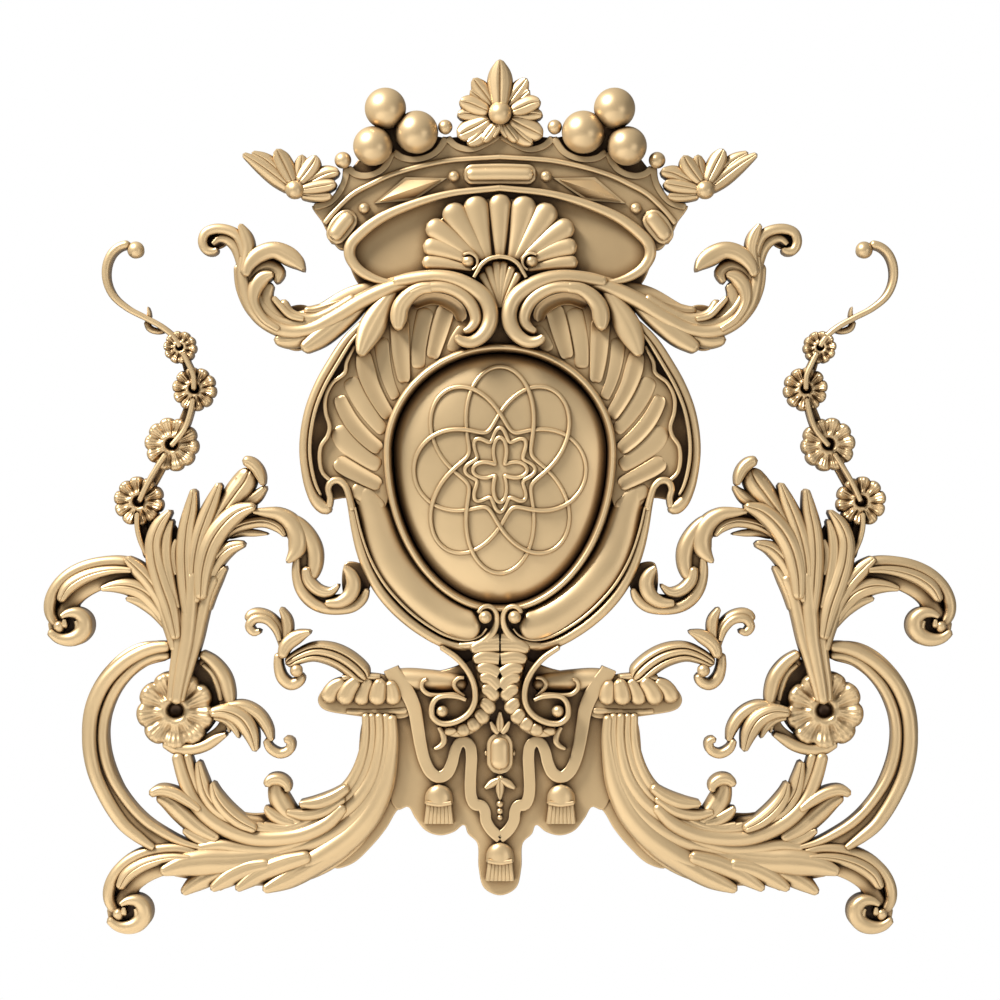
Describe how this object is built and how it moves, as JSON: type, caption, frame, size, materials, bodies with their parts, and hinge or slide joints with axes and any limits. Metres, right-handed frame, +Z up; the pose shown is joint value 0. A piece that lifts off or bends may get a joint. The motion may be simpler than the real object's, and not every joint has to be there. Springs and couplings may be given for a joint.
{
  "type": "furniture applique",
  "caption": "Cast crest applique for furniture: a crown over an oval cartouche with leafy scrolls, flower garlands and a tasselled drapery, flat at the back.",
  "frame": {"origin": "on the flat back of the casting, on the centre line behind the oval cartouche, where the crest is fixed to its panel", "axes": "+X across the crest to the right as it is looked at, +Z up to the crown, +Y out of the back into the panel, so the relief faces -Y"},
  "size_m": [0.3016, 0.0166, 0.2873],
  "materials": {
    "gilded_copper": "matt gilded copper casting with a dark brown patina in the hollows and worn bright edges"
  },
  "bodies": {
    "root": {"crest": "gilded_copper"}
  },
  "joints": []
}
